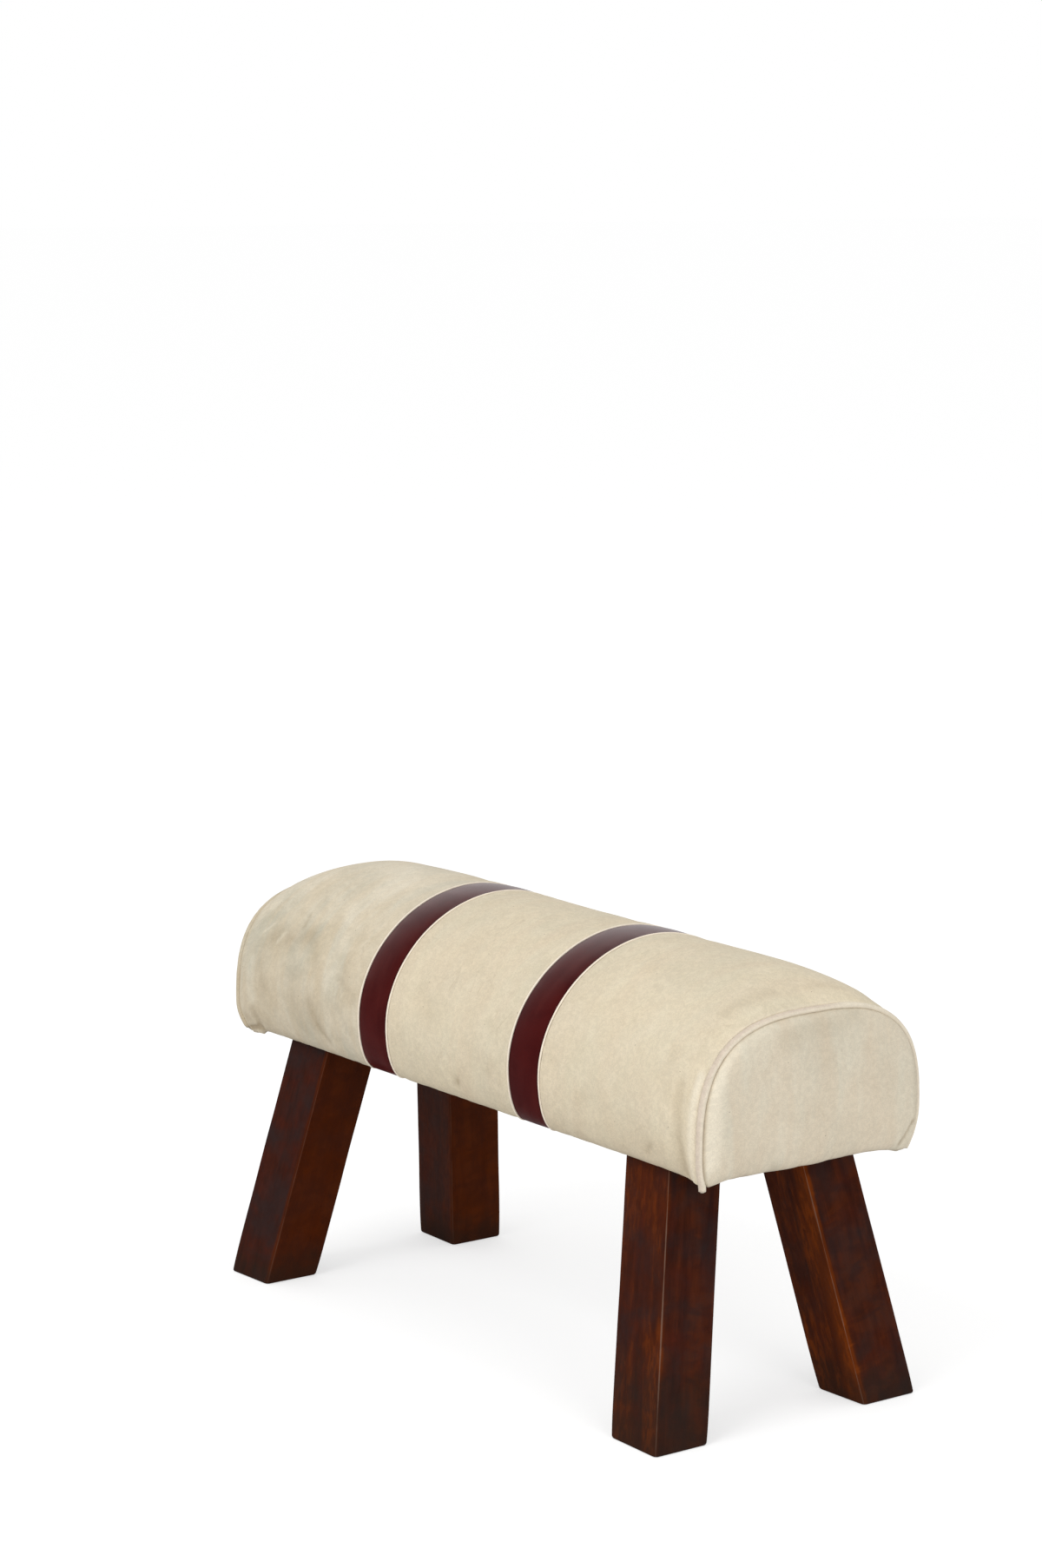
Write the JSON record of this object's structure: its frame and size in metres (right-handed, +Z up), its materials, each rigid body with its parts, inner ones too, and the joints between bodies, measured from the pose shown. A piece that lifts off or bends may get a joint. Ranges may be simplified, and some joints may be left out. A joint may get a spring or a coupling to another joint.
{
  "type": "shoe fitting stool",
  "caption": "Long padded bench seat with a domed leather top, two dark bands across it, welted end panels and splayed square timber legs.",
  "frame": {"origin": "on the floor, midway between the four feet", "axes": "+X along the seat towards its right end, -Y the front long side, +Z up"},
  "size_m": [0.8352, 0.3412, 0.4674],
  "materials": {
    "cream_leather": "matt nubuck, soft mottle and light creases",
    "oxblood_leather": "smooth waxed leather with a soft sheen",
    "stained_wood": "dark stained hardwood, satin, worn pale on the edges",
    "plywood": "raw birch plywood",
    "hardwood": "raw planed beech",
    "foam": "open-cell upholstery foam",
    "wadding": "white polyester wadding",
    "welt_cord": "twisted paper-yarn cord",
    "dust_cloth": "black non-woven cloth",
    "zinc_steel": "zinc plated",
    "brass": "turned brass"
  },
  "bodies": {
    "root": {"panel_left": "cream_leather", "panel_centre": "cream_leather", "panel_right": "cream_leather", "end_panel_left": "cream_leather", "end_panel_right": "cream_leather", "welt_left": "cream_leather", "welt_right": "cream_leather", "piping_outer_left": "cream_leather", "piping_inner_left": "cream_leather", "piping_inner_right": "cream_leather", "piping_outer_right": "cream_leather", "band_left": "oxblood_leather", "band_right": "oxblood_leather", "leg_front_left": "stained_wood", "leg_front_right": "stained_wood", "leg_back_left": "stained_wood", "leg_back_right": "stained_wood", "base_board": "plywood", "deck": "plywood", "end_former_left": "plywood", "end_former_right": "plywood", "rib_outer_left": "plywood", "rib_inner_left": "plywood", "rib_inner_right": "plywood", "rib_outer_right": "plywood", "leg_block_front_left": "hardwood", "leg_block_front_right": "hardwood", "leg_block_back_left": "hardwood", "leg_block_back_right": "hardwood", "foam_pad": "foam", "end_foam_left": "foam", "end_foam_right": "foam", "wadding": "wadding", "welt_cord_left": "welt_cord", "welt_cord_right": "welt_cord", "dust_cover": "dust_cloth", "leg_bolts": "zinc_steel", "leg_washers": "zinc_steel", "rib_screws": "zinc_steel", "deck_pins": "zinc_steel", "hem_staples": "zinc_steel", "dust_cover_staples": "zinc_steel", "leg_inserts": "brass"}
  },
  "joints": []
}
